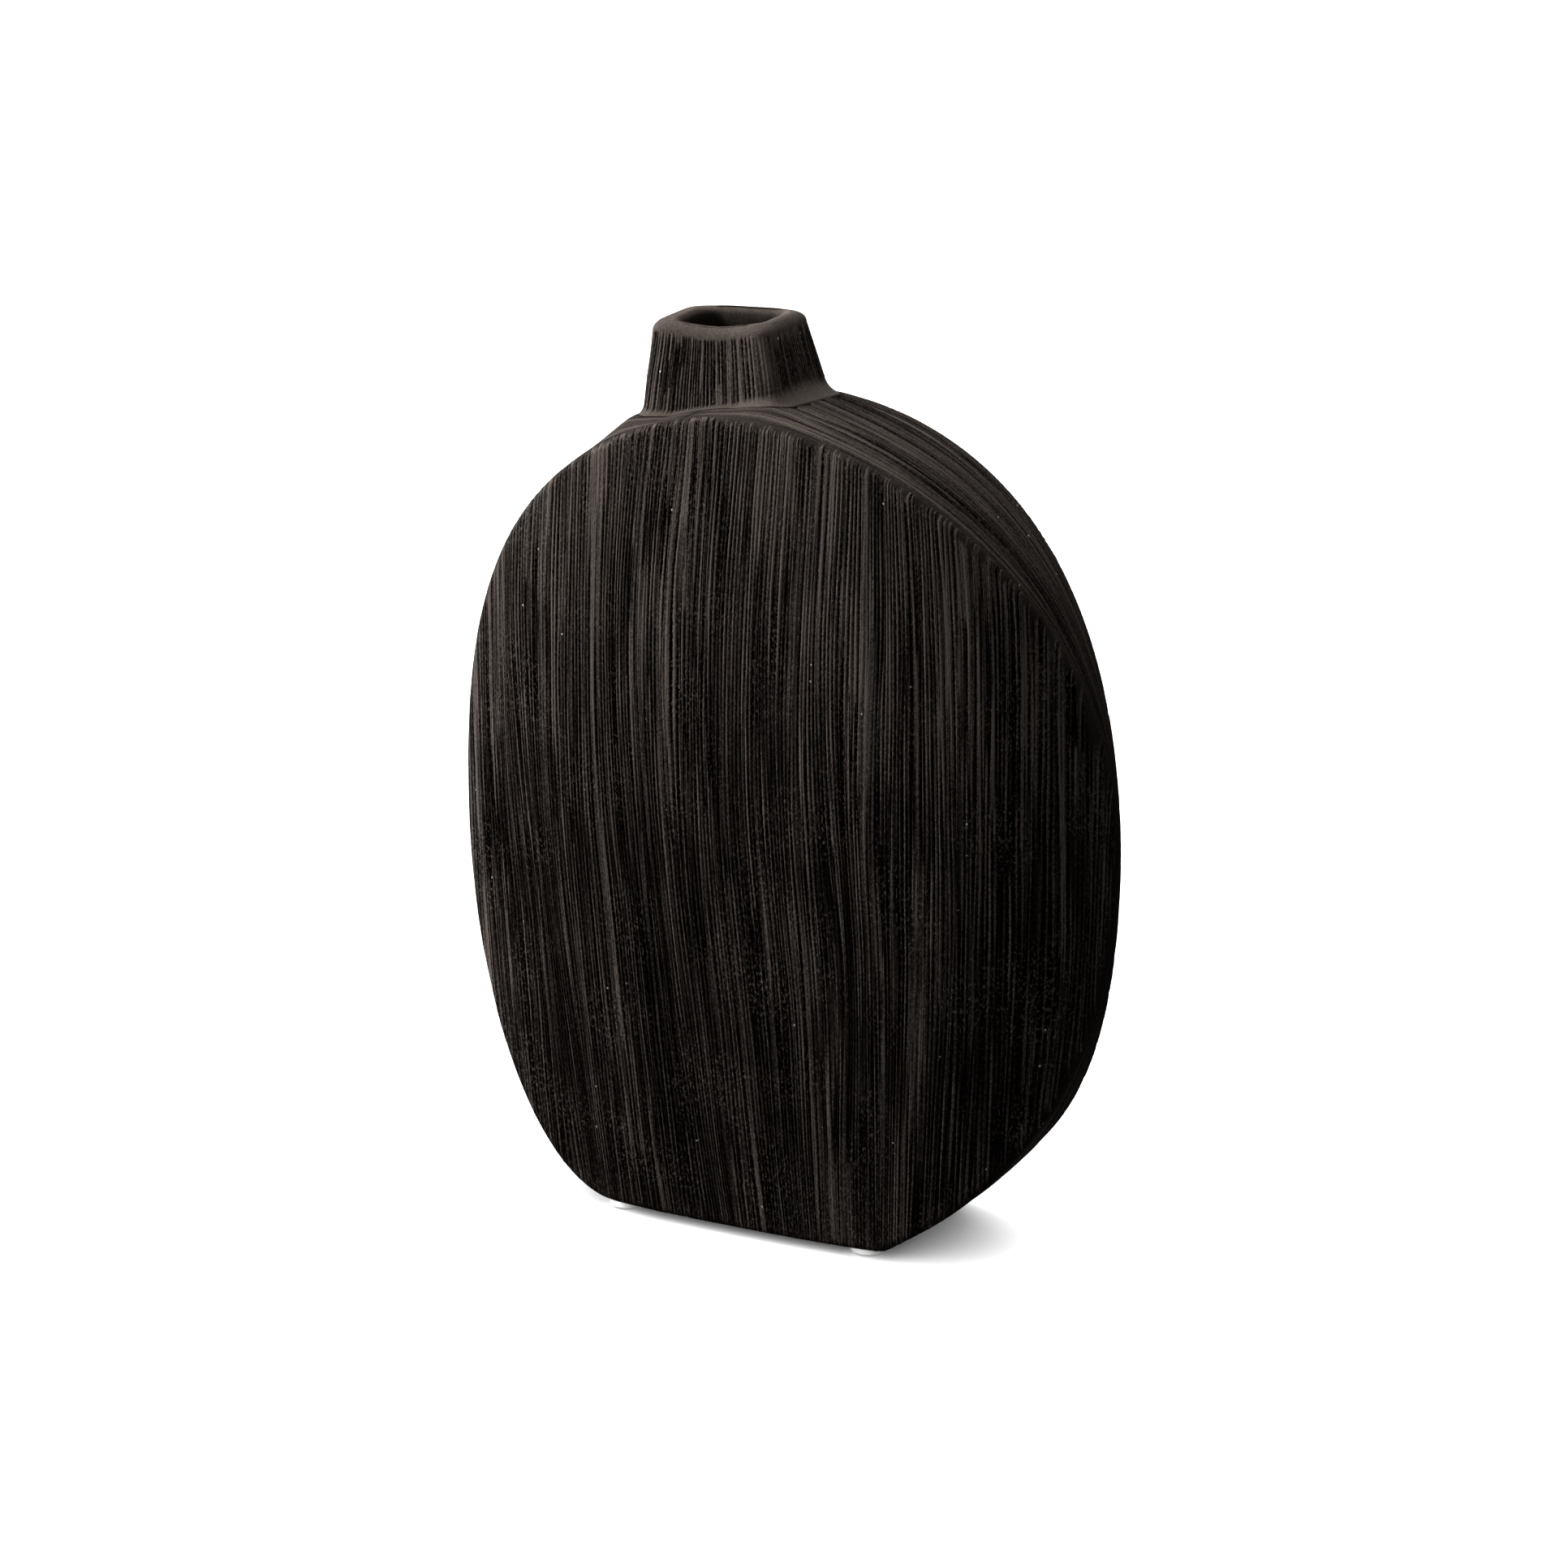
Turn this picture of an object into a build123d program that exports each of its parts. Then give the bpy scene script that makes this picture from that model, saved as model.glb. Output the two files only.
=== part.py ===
from build123d import *
import math
import os

os.makedirs("parts", exist_ok=True)

# Slab-built stoneware flask vase. Millimetres, +Z up, width along X, front face toward -Y.
# The origin is on the floor, under the middle of the bounding box.

# Driving dimensions
half_width = 80.0  # centre line to the widest point on each side
body_height = 181.0  # underside of the base to the top of the shoulders
centre_depth = 42.5  # front face to back face on the centre line
edge_depth = 4.0  # front face to back face at the two sides
wall = 5.0  # thickness of every clay slab
base_right = 33.8  # flat base, right of the centre line
base_left = 34.0  # flat base, left of the centre line
apex_x = 0.0  # highest point of the shoulder line
right_widest = 90.0  # height of the widest point, right
left_widest = 78.0  # height of the widest point, left

neck_x = -10.3  # the neck stands a little left of centre
neck_y = 3.1  # and a little toward the back
neck_height = 18.5  # shoulder to lip
foot_width, foot_depth = 33.0, 25.6  # neck where it leaves the shoulder
lip_width, lip_depth = 28.4, 21.0  # neck at the lip
foot_flare = 2.6  # clay smoothed outward round the foot of the neck
foot_tilt = 9.0  # slope of the shoulder under the neck, degrees
corner_radius = 4.0  # upright corners of the neck
lip_rounding = 2.3  # outer edge of the lip
bore_width, bore_depth, bore_radius = 20.0, 15.0, 4.0
spigot_wall = 2.5  # neck wall where it is let down through the shoulder
spigot_length = 8.0  # how far the neck reaches below the shoulder top

pad_diameter = 8.0
pad_height = 2.0
pad_columns = (-33.0, 28.0)
pad_rows = (-15.0, 15.0)

upright = Plane(origin=(0, 0, pad_height), x_dir=(1, 0, 0), z_dir=(0, -1, 0))
base_plane = Plane.XY.offset(pad_height)
seam_width = 4 * half_width


# Outline of the vase seen from the front, and the same line one slab further in. The bends are the
# free ends of the curve handles.
def draw_outline(
    inset, foot, foot_bend, right_low, right_high, right_top, left_top, left_high, left_low, left_foot
):
    side = half_width - inset
    top = body_height - inset
    Line((-base_left, inset), (foot, inset))
    Bezier((foot, inset), (foot + foot_bend, inset + foot_bend), (side, right_low), (side, right_widest))
    Bezier((side, right_widest), (side, right_high), (apex_x + right_top, top), (apex_x, top))
    Bezier((apex_x, top), (apex_x - left_top, top), (-side, left_high), (-side, left_widest))
    Bezier((-side, left_widest), (-side, left_low), (-base_left - left_foot, inset), (-base_left, inset))


with BuildSketch(upright) as outline:
    with BuildLine():
        draw_outline(0, base_right, 5.6, 19.5, 159.0, 25.5, 31.5, 154.0, 39.0, 21.0)
    make_face()

with BuildSketch(upright) as panel_outline:
    with BuildLine():
        draw_outline(wall, base_right - 1.6, 4.9, 23.1, 156.2, 22.7, 28.8, 151.2, 40.5, 17.0)
    make_face()

# Each face bows outward: its depth follows a cubic from the centre line to the edge
with BuildSketch(base_plane) as plan:
    with BuildLine():
        for side in (-1, 1):
            for face in (-1, 1):
                Bezier(
                    (0, face * centre_depth / 2),
                    (side * half_width / 3, face * centre_depth / 2),
                    (side * half_width * 2 / 3, face * centre_depth / 2),
                    (side * half_width, face * edge_depth / 2),
                )
            Line((side * half_width, -edge_depth / 2), (side * half_width, edge_depth / 2))
    make_face()

# Inner surfaces of the two face slabs, one wall inside the outer ones; they meet on the centre plane
bow = (centre_depth - edge_depth) / 2
cavity_half = half_width * ((centre_depth / 2 - wall) / bow) ** (1 / 3)
cavity_depth = centre_depth / 2 - wall
with BuildSketch(base_plane) as cavity_plan:
    with BuildLine():
        for side in (-1, 1):
            for face in (-1, 1):
                Bezier(
                    (0, face * cavity_depth),
                    (side * cavity_half / 3, face * cavity_depth),
                    (side * cavity_half * 2 / 3, face * cavity_depth),
                    (side * cavity_half, 0),
                )
    make_face()

# Whole outer form, used to shape the separate pieces
with BuildPart() as form:
    extrude(plan.sketch, amount=body_height + 1)
    extrude(outline.sketch, amount=centre_depth, both=True, mode=Mode.INTERSECT)

neck_base = Plane(origin=(neck_x, neck_y, pad_height))

# Bottom slab, carrying the walls
with BuildPart() as base_slab:
    add(form.part)
    with Locations((0, 0, pad_height + wall)):
        Box(
            seam_width, seam_width, body_height * 2,
            align=(Align.CENTER, Align.CENTER, Align.MIN), mode=Mode.SUBTRACT,
        )

# Front and back slabs, inside the bands and standing on the base
with BuildPart() as front_slab:
    extrude(plan.sketch, amount=body_height + 1)
    extrude(cavity_plan.sketch, amount=body_height + 1, mode=Mode.SUBTRACT)
    extrude(panel_outline.sketch, amount=centre_depth, both=True, mode=Mode.INTERSECT)
    Box(
        seam_width, seam_width, body_height * 2, align=(Align.CENTER, Align.MIN, Align.CENTER),
        mode=Mode.SUBTRACT,
    )

with BuildPart() as back_slab:
    mirror(front_slab.part, about=Plane.XZ)

# Bands round the sides and shoulders, split under the neck and pierced for it
with BuildPart() as band_ring:
    add(form.part)
    extrude(panel_outline.sketch, amount=centre_depth, both=True, mode=Mode.SUBTRACT)
    with Locations((0, 0, pad_height + wall)):
        Box(
            seam_width, seam_width, body_height, align=(Align.CENTER, Align.CENTER, Align.MAX),
            mode=Mode.SUBTRACT,
        )
    with BuildSketch(neck_base):
        RectangleRounded(
            bore_width + 2 * spigot_wall, bore_depth + 2 * spigot_wall, bore_radius + spigot_wall
        )
    extrude(amount=body_height + 1, mode=Mode.SUBTRACT)

with BuildPart() as left_band:
    add(band_ring.part)
    with Locations((neck_x, 0, 0)):
        Box(
            seam_width, seam_width, body_height * 3, align=(Align.MIN, Align.CENTER, Align.CENTER),
            mode=Mode.SUBTRACT,
        )

with BuildPart() as right_band:
    add(band_ring.part)
    with Locations((neck_x, 0, 0)):
        Box(
            seam_width, seam_width, body_height * 3, align=(Align.MAX, Align.CENTER, Align.CENTER),
            mode=Mode.SUBTRACT,
        )

# Neck collar: tapers up to the lip, spreads a little at the foot, sits on the sloping shoulder
tilt = math.radians(foot_tilt)
foot_plane = Plane(
    origin=(neck_x, neck_y, pad_height + body_height - 1),
    x_dir=(math.cos(tilt), 0, math.sin(tilt)),
    z_dir=(-math.sin(tilt), 0, math.cos(tilt)),
)
with BuildPart() as neck:
    with BuildSketch(foot_plane.offset(-3)):
        RectangleRounded(foot_width + 2.6 * foot_flare, foot_depth + 2.6 * foot_flare, 1.5 * corner_radius)
    with BuildSketch(foot_plane.offset(3)):
        RectangleRounded(foot_width, foot_depth, corner_radius)
    loft(ruled=True)
    with BuildSketch(foot_plane.offset(3)):
        RectangleRounded(foot_width, foot_depth, corner_radius)
    with BuildSketch(neck_base.offset(body_height + neck_height)):
        RectangleRounded(lip_width, lip_depth, corner_radius)
    loft(ruled=True)
    fillet(neck.faces().sort_by(Axis.Z)[-1].edges(), lip_rounding)
    add(form.part, mode=Mode.SUBTRACT)
    with BuildSketch(neck_base.offset(body_height - spigot_length)):
        RectangleRounded(
            bore_width + 2 * spigot_wall, bore_depth + 2 * spigot_wall, bore_radius + spigot_wall
        )
    extrude(amount=spigot_length + 3)
    with BuildSketch(neck_base):
        RectangleRounded(bore_width, bore_depth, bore_radius)
    extrude(amount=body_height + neck_height + 1, mode=Mode.SUBTRACT)
    fillet(neck.edges().group_by(Axis.Z)[-1], 0.6)

pieces = {
    "base_slab": base_slab,
    "front_slab": front_slab,
    "back_slab": back_slab,
    "left_band": left_band,
    "right_band": right_band,
    "neck": neck,
}
for name, piece in pieces.items():
    piece.part.label = name
    export_step(piece.part, f"parts/{name}.step")

# Small round feet stuck under the corners of the base
number = 0
for row in pad_rows:
    for column in pad_columns:
        number += 1
        with BuildPart() as pad:
            with Locations((column, row, 0)):
                Cylinder(pad_diameter / 2, pad_height, align=(Align.CENTER, Align.CENTER, Align.MIN))
            fillet(pad.edges().group_by(Axis.Z)[0], 0.8)
        pad.part.label = f"pad_{number}"
        export_step(pad.part, f"parts/pad_{number}.step")
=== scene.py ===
import math

import bpy
import numpy as np
from mathutils import Matrix, Vector, kdtree

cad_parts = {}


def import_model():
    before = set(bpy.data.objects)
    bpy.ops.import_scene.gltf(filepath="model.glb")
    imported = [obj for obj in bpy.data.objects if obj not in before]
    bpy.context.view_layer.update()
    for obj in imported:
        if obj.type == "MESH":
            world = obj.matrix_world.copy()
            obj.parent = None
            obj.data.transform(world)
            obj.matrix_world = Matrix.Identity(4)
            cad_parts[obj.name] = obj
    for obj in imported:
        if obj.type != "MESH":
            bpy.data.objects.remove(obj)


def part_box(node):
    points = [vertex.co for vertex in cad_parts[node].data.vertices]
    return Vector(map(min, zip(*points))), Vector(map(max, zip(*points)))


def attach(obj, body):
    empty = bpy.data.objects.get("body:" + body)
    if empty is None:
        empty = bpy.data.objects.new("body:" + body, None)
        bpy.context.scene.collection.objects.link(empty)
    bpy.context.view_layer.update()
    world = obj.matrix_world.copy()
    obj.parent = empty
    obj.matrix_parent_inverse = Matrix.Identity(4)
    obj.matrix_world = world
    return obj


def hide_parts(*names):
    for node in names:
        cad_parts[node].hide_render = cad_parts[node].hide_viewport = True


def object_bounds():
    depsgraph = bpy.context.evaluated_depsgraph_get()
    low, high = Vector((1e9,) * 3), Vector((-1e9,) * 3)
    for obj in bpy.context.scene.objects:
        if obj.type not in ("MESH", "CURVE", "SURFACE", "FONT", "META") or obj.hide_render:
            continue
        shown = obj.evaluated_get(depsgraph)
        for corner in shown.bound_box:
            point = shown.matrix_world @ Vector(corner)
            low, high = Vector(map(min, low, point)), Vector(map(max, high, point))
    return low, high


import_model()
cad_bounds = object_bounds()

MM = 0.001


def mm(corner):
    """A corner in millimetres."""
    return np.array([c / MM for c in corner])


# ---------------------------------------------------------------- frame sizes
whole_low, whole_high = (mm(c) for c in cad_bounds)
base_low, base_high = (mm(c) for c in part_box("base_slab"))
neck_low, neck_high = (mm(c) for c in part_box("neck"))
band_high = mm(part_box("left_band")[1])

HALF = (whole_high[0] - whole_low[0]) / 2  # centre line to the widest point
BASE_Z = base_low[2]  # underside of the base
HEIGHT = mm(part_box("right_band")[1])[2] - BASE_Z  # base to shoulder top
DEPTH = base_high[1] - base_low[1]  # front face to back face in the middle
EDGE_DEPTH = 4.0  # face to face at the two sides
WALL = 5.0  # thickness of every slab
NECK_X = band_high[0]  # the shoulder seam runs under the middle of the neck
NECK_Y = (neck_low[1] + neck_high[1]) / 2
LIP_Z = neck_high[2] - BASE_Z

BASE_RIGHT, BASE_LEFT = 33.8, 34.0  # flat base either side of the centre line
RIGHT_WIDEST, LEFT_WIDEST = 90.0, 78.0  # heights of the widest points
NECK_FOOT = 16.4, 12.7  # half width and half depth of the neck where it leaves the shoulder


# ---------------------------------------------------------------- outline
def bezier(p0, p1, p2, p3):
    t = np.linspace(0, 1, 3000, endpoint=False)[:, None]
    p0, p1, p2, p3 = (np.array(p, float) for p in (p0, p1, p2, p3))
    return (1 - t) ** 3 * p0 + 3 * (1 - t) ** 2 * t * p1 + 3 * (1 - t) * t * t * p2 + t**3 * p3


def flask(
    inset, foot, foot_bend, right_low, right_high, right_top, left_top, left_high, left_low, left_foot
):
    """Front outline in x, z from the right foot up, over and down to the left foot, then along the base.
    The arguments after the inset are the right foot and the free ends of the curve handles."""
    side, top = HALF - inset, HEIGHT - inset
    right_base, left_base = (foot, inset), (-BASE_LEFT, inset)
    right, left, apex = (side, RIGHT_WIDEST), (-side, LEFT_WIDEST), (0.0, top)
    return np.concatenate(
        [
            bezier(right_base, (foot + foot_bend, inset + foot_bend), (side, right_low), right),
            bezier(right, (side, right_high), (right_top, top), apex),
            bezier(apex, (-left_top, top), (-side, left_high), left),
            bezier(left, (-side, left_low), (-BASE_LEFT - left_foot, inset), left_base),
            bezier(left_base, (-BASE_LEFT / 3, inset), (foot / 3, inset), right_base),
        ]
    )


def ring_smooth(points, sigma):
    """Rounds the corners of a closed, evenly spaced line."""
    n = int(4 * sigma)
    k = np.exp(-0.5 * (np.arange(-n, n + 1) / sigma) ** 2)
    k /= k.sum()
    wrapped = np.concatenate([points[-n:], points, points[:n]])
    return np.stack([np.convolve(wrapped[:, i], k, "valid") for i in (0, 1)], 1)


STEP = 0.05  # spacing of the stations along the outline
outer = flask(0, BASE_RIGHT, 5.6, 19.5, 159.0, 25.5, 31.5, 154.0, 39.0, 21.0)
inner = flask(WALL, BASE_RIGHT - 1.6, 4.9, 23.1, 156.2, 22.7, 28.8, 151.2, 40.5, 17.0)
closed = np.concatenate([outer, outer[:1]])
length = np.concatenate([[0], np.cumsum(np.linalg.norm(np.diff(closed, axis=0), axis=1))])
stations = np.arange(0, length[-1], STEP)


def at_stations(line):
    """An outline sampled at the stations of the outer one."""
    line = np.concatenate([line, line[:1]])
    return np.stack([np.interp(stations, length, line[:, i]) for i in (0, 1)], 1)


outer, inner = ring_smooth(at_stations(outer), 1.1 / STEP), ring_smooth(at_stations(inner), 0.6 / STEP)
tangent = np.roll(outer, -1, 0) - np.roll(outer, 1, 0)
tangent /= np.linalg.norm(tangent, axis=1)[:, None]
outward = np.stack([tangent[:, 1], -tangent[:, 0]], 1)


def branches(line):
    """The lower and upper halves of an outline as x-sorted lines."""
    right, left = int(line[:, 0].argmax()), int(line[:, 0].argmin())
    upper = line[right : left + 1][::-1]
    lower = np.concatenate([line[left:], line[: right + 1]])
    return lower, upper


def heights(line, x):
    """Lower and upper height of an outline at each x."""
    lower, upper = branches(line)
    return np.interp(x, lower[:, 0], lower[:, 1]), np.interp(x, upper[:, 0], upper[:, 1])


def depth_at(x):
    """Face to face at a given distance from the centre line."""
    return DEPTH - (DEPTH - EDGE_DEPTH) * np.clip(np.abs(x) / HALF, 0, 1) ** 3


def round_at(depth):
    """Radius of the softened ridge: less where the vase is thin."""
    return np.minimum(1.35, 0.28 * depth)


def lap_at(depth):
    """How far a face slab turns in under the band beyond the ridge."""
    return np.minimum(0.5, 0.3 * (depth / 2 - round_at(depth)))


def cavity_at(x):
    """Half the depth of the hollow."""
    return np.clip(depth_at(x) / 2 - WALL, 0.3, None)


def crown_at(depth, y):
    """How far the edge band rises between its two ridges."""
    half = np.maximum(depth / 2 - round_at(depth), 0.1)
    return 0.7 * (1 - np.clip(y / half, -1, 1) ** 2) ** 2 * depth / DEPTH


def mound_at(x, y, depth):
    """Clay drawn up toward the neck, most on its left."""
    beside = np.maximum(np.abs(x - NECK_X) - NECK_FOOT[0], 0)
    before = np.maximum(np.abs(y - NECK_Y) - NECK_FOOT[1], 0)
    away = np.hypot(beside, before)
    side = np.where(x < NECK_X, 2.9, 1.5)
    side = side * np.clip((np.abs(x - NECK_X) - 8) / 8, 0, 1)
    return side * np.exp(-((away / 8.5) ** 1.4)) * (1 - np.clip(2 * y / depth, -1, 1) ** 4)


# ---------------------------------------------------------------- noise and combing
def value_noise(u, v, seed):
    """Smooth random values from -1 to 1 with a feature size of about 1."""
    grid = np.random.default_rng(seed).uniform(-1, 1, (257, 257))
    iu, iv = np.floor(u).astype(int), np.floor(v).astype(int)
    fu, fv = u - iu, v - iv
    fu, fv = fu * fu * (3 - 2 * fu), fv * fv * (3 - 2 * fv)
    a, b = grid[iu % 257, iv % 257], grid[(iu + 1) % 257, iv % 257]
    c, d = grid[iu % 257, (iv + 1) % 257], grid[(iu + 1) % 257, (iv + 1) % 257]
    return (a * (1 - fu) + b * fu) * (1 - fv) + (c * (1 - fu) + d * fu) * fv


def smoothstep(low, high, x):
    t = np.clip((x - low) / (high - low), 0, 1)
    return t * t * (3 - 2 * t)


def comb(across, along, passes, gen, teeth, pitch, lengths, widths, depths):
    """Grooves dragged along a grid by a toothed tool. across[i, j] and along[i, j] are in mm, i runs
    across the grooves. Each pass cuts a bundle of near-parallel grooves; the clay pushed out of a groove
    stands up a little on either side of it."""
    field = np.zeros_like(across)
    mid = across[:, across.shape[1] // 2]
    low, high = mid.min(), mid.max()
    z_low, z_high = along.min(), along.max()
    for _ in range(passes):
        x0, z0 = gen.uniform(low - 2, high), gen.uniform(z_low, z_high)
        half = gen.uniform(*lengths) / 2
        lean = gen.normal(0, 0.007)
        wave, phase = gen.uniform(9, 26), gen.uniform(0, 6.3)
        force = gen.uniform(0.55, 1.0)
        for _tooth in range(gen.integers(*teeth)):
            x0 += gen.uniform(*pitch)
            middle, reach = z0 + gen.normal(0, 0.12) * half, half * gen.uniform(0.65, 1.05)
            w, d = gen.uniform(*widths) / 2, gen.uniform(*depths) * force
            drift = gen.normal(0, 0.004)
            band = 3 * w + abs(lean + drift) * reach + 0.4
            i = np.where(np.abs(mid - x0) < band)[0]
            if len(i) == 0:
                continue
            a, b = i[0], i[-1] + 1
            z = along[a:b]
            path = x0 + (lean + drift) * (z - z0) + 0.13 * np.sin(z / wave + phase)
            off = np.abs(across[a:b] - path) / w
            ends = smoothstep(1.0, 0.7, np.abs(z - middle) / reach)
            groove = -d * np.exp(-(off**2)) * ends
            lift = 0.3 * d * np.exp(-((off - 1.9) ** 2) * 2.5) * ends
            field[a:b] = np.minimum(field[a:b] + 0.5 * lift, np.where(off < 1.3, groove, 9.0))
    return field


PITCH = 0.9  # spacing of the tool's teeth


def tool_marks(across, along, seed, rough, skips):
    """Side-by-side grooves left by a toothed tool drawn along the surface. rough runs from 0 to 1 and skips
    sets how often neighbouring teeth miss together. Returns the position across the teeth after drift, the
    half-width of the nearest groove and its relief."""
    sway = 1.5 * value_noise(across / 8, along / 70, seed)
    drifted = across + (sway + 0.22 * value_noise(across / 2.5, along / 24, seed + 1))
    tooth = np.floor(drifted / PITCH)
    press = value_noise(tooth, along / 60, seed + 2) + 0.3 * value_noise(tooth, along / 12, seed + 3)
    lifted = value_noise(across / 2.2, along / 80, seed + 4)
    bite = smoothstep(-0.7, 0.4, press + 0.8 * rough - 0.30 - skips * lifted)
    width = 0.22 * bite * (0.75 + 0.45 * rough)
    aside = np.abs(drifted / PITCH - tooth - 0.5) * PITCH
    relief = -(0.10 + 0.16 * rough) * bite * np.exp(-((aside / (0.8 * width + 0.03)) ** 2))
    return drifted, width, relief


# ---------------------------------------------------------------- meshes
def make_piece(name, verts, faces, flow=None, marks=None, gouge=None):
    """A mesh object from millimetre points measured from the underside of the base. The clay material reads
    flow (across and along the combing, and a seed), marks (half-width of the nearest groove, how clearly the
    spot is combed, and its tone where the comb left it alone, painted shade included) and gouge (relief of
    the stray deep grooves, which the material also paints dark as shade)."""
    mesh = bpy.data.meshes.new(name)
    verts = np.asarray(verts, float).copy()
    verts[:, 2] += BASE_Z
    mesh.from_pydata((verts * MM).tolist(), [], faces)
    mesh.validate()
    mesh.update()
    mesh.polygons.foreach_set("use_smooth", [True] * len(mesh.polygons))
    if flow is not None:
        for title, kind, field, values in (
            ("flow", "FLOAT_VECTOR", "vector", flow),
            ("marks", "FLOAT_VECTOR", "vector", marks),
            ("gouge", "FLOAT", "value", gouge),
        ):
            att = mesh.attributes.new(title, kind, "POINT")
            att.data.foreach_set(field, np.asarray(values, np.float32).ravel())
    ob = bpy.data.objects.new(name, mesh)
    bpy.context.scene.collection.objects.link(ob)
    return ob


def grid_faces(rows, cols, start=0, flip=False):
    """Quads between the points of a grid stored row by row."""
    a = start + np.arange(rows - 1)[:, None] * cols + np.arange(cols - 1)[None, :]
    b = a + cols
    quad = np.stack([a, b, b + 1, a + 1], -1).reshape(-1, 4)
    if flip:
        quad = quad[:, ::-1]
    return quad.tolist()


def stitch(loop_a, key_a, loop_b, key_b, flip=False):
    """Triangles between two closed loops whose keys both rise round the loop."""
    faces = []
    na, nb = len(loop_a), len(loop_b)
    i = j = 0
    ka = np.concatenate([key_a, [key_a[0] + 2 * math.pi]])
    kb = np.concatenate([key_b, [key_b[0] + 2 * math.pi]])
    while i < na or j < nb:
        if j >= nb or (i < na and ka[i + 1] <= kb[j + 1]):
            tri = [loop_a[i % na], loop_a[(i + 1) % na], loop_b[j % nb]]
            i += 1
        else:
            tri = [loop_a[i % na], loop_b[(j + 1) % nb], loop_b[j % nb]]
            j += 1
        faces.append(tri[::-1] if flip else tri)
    return faces


def border(rows, cols, start):
    """The outside loop of a grid stored row by row, starting at its first corner."""
    g = start + np.arange(rows * cols).reshape(rows, cols)
    return np.concatenate([g[:, 0], g[-1, 1:], g[-2::-1, -1], g[0, -2:0:-1]])


def loop_keys(points):
    """Rising angle of each x, z point round the middle of the face."""
    angle = np.unwrap(np.arctan2(points[:, 1] - HEIGHT / 2, points[:, 0]))
    if angle[-1] < angle[0]:
        angle = -angle
    return np.maximum.accumulate(angle)


def spread(edge, fine, coarse_step, count=26):
    """x positions from -edge to edge, closing up toward both ends."""
    core = np.linspace(-(edge - fine), edge - fine, int(2 * (edge - fine) / coarse_step))
    tail = edge - fine + fine * (1 - (1 - np.linspace(0, 1, count + 1)[1:]) ** 2)
    tail[-1] = edge - 0.004
    return np.concatenate([-tail[::-1], core, tail])


# for the distance of a point on a face to the outline
edge_points = outer[::4]
tree = kdtree.KDTree(len(edge_points))
for index, point in enumerate(edge_points):
    tree.insert((point[0], point[1], 0), index)
tree.balance()


def rim_rows(low, high, slope, reach, main):
    """z of every grid row for each column: close together near the outline."""
    near = np.array([0, 0.004, 0.016, 0.04, 0.08, 0.14, 0.22, 0.34, 0.5, 0.72, 1.0])
    room = np.minimum(reach * slope, 0.42 * (high - low))
    start = low[:, None] + room[:, None] * near
    middle = np.linspace(0, 1, main + 2)[1:-1]
    body = (low + room)[:, None] + (high - low - 2 * room)[:, None] * middle
    end = (high[:, None] - room[:, None] * near)[:, ::-1]
    return np.concatenate([start, body, end], 1)


def grid_normals(p):
    """Unit normals of a grid of points; the sign is the caller's."""
    n = np.cross(np.gradient(p, axis=0), np.gradient(p, axis=1))
    return n / (np.linalg.norm(n, axis=2)[:, :, None] + 1e-12)


def stroke_lean(x, z):
    """Lean of the combing on a face, in degrees, positive where a stroke moves right on its way down. The
    strokes bow with the outline at both sides."""
    middle = 6.2 * smoothstep(125, 68, z) - 5.4 * smoothstep(112, 165, z) + 3.0 * smoothstep(32, 0, z)
    middle = middle - 1.1
    right = 0.3 + 4.5 * smoothstep(125, 165, z) - 3.6 * smoothstep(105, 35, z)
    left = -0.06 * (z - LEFT_WIDEST)
    lean = middle + (right - middle) * smoothstep(16 - 28 * smoothstep(85, 40, z), 52, x)
    return lean + (left - lean) * smoothstep(-56, -79, x)


def widest_line(x):
    """Height of the line across the face that joins the widest points of its two sides."""
    return (RIGHT_WIDEST + LEFT_WIDEST) / 2 + (RIGHT_WIDEST - LEFT_WIDEST) / 2 * x / HALF


class Strokes:
    """The lines the comb follows. Each starts on the widest line and runs up and down the face."""

    def __init__(self, start):
        self.start, self.origin, self.reach = start, widest_line(start), int(HEIGHT) + 1
        x = np.zeros((len(start), 2 * self.reach + 1))
        x[:, self.reach] = start
        for way in (-1, 1):
            for k in range(self.reach):
                here = self.reach + way * k
                lean = stroke_lean(x[:, here], self.origin + way * k)
                x[:, here + way] = x[:, here] - way * np.tan(np.radians(lean))
        self.x = x

    def at(self, z):
        """x of every stroke at heights z, one column of heights for each stroke."""
        t = np.clip(z - self.origin[:, None] + self.reach, 0, 2 * self.reach - 1e-6)
        k = t.astype(int)
        row = np.arange(len(self.start))[:, None]
        return self.x[row, k] * (1 - t + k) + self.x[row, k + 1] * (t - k)

    def ends(self, line):
        """Heights where each stroke leaves the outline, below and above."""
        found = []
        for upper in (0, 1):
            inside = self.origin.copy()
            outside = np.full(len(self.start), (-1.0, HEIGHT + 1)[upper])
            for _ in range(40):
                z = (inside + outside) / 2
                limit = heights(line, self.at(z[:, None])[:, 0])[upper]
                within = z < limit if upper else z > limit
                inside, outside = np.where(within, z, inside), np.where(within, outside, z)
            found.append((inside + outside) / 2)
        return found


FACE_STEP, FACE_ROWS = 0.145, 58  # spacing of the grid across a face, and its rows away from the ridge
INNER_ROWS = 40  # grid of the inner side of a face
HOLLOW_SHADE_TONE, RIM_TONE = 0.35, 0.20  # tone of the clay in the hollow, kept dark as painted shade, and of what the comb left alone outside


def surface_data(total, across, along, seed, width, combed, gouge):
    """The three fields of the clay material for a piece whose first points are its combed grid."""
    flow, marks, gouges = np.zeros((total, 3)), np.zeros((total, 3)), np.zeros(total)
    n = across.size
    flow[:n, 0], flow[: along.size, 1], flow[:, 2] = across.ravel(), along.ravel(), seed
    marks[:, 2] = HOLLOW_SHADE_TONE
    marks[:n] = np.stack([width.ravel(), combed.ravel(), np.full(n, RIM_TONE)], 1)
    gouges[:n] = gouge.ravel()
    return flow, marks, gouges


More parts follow.
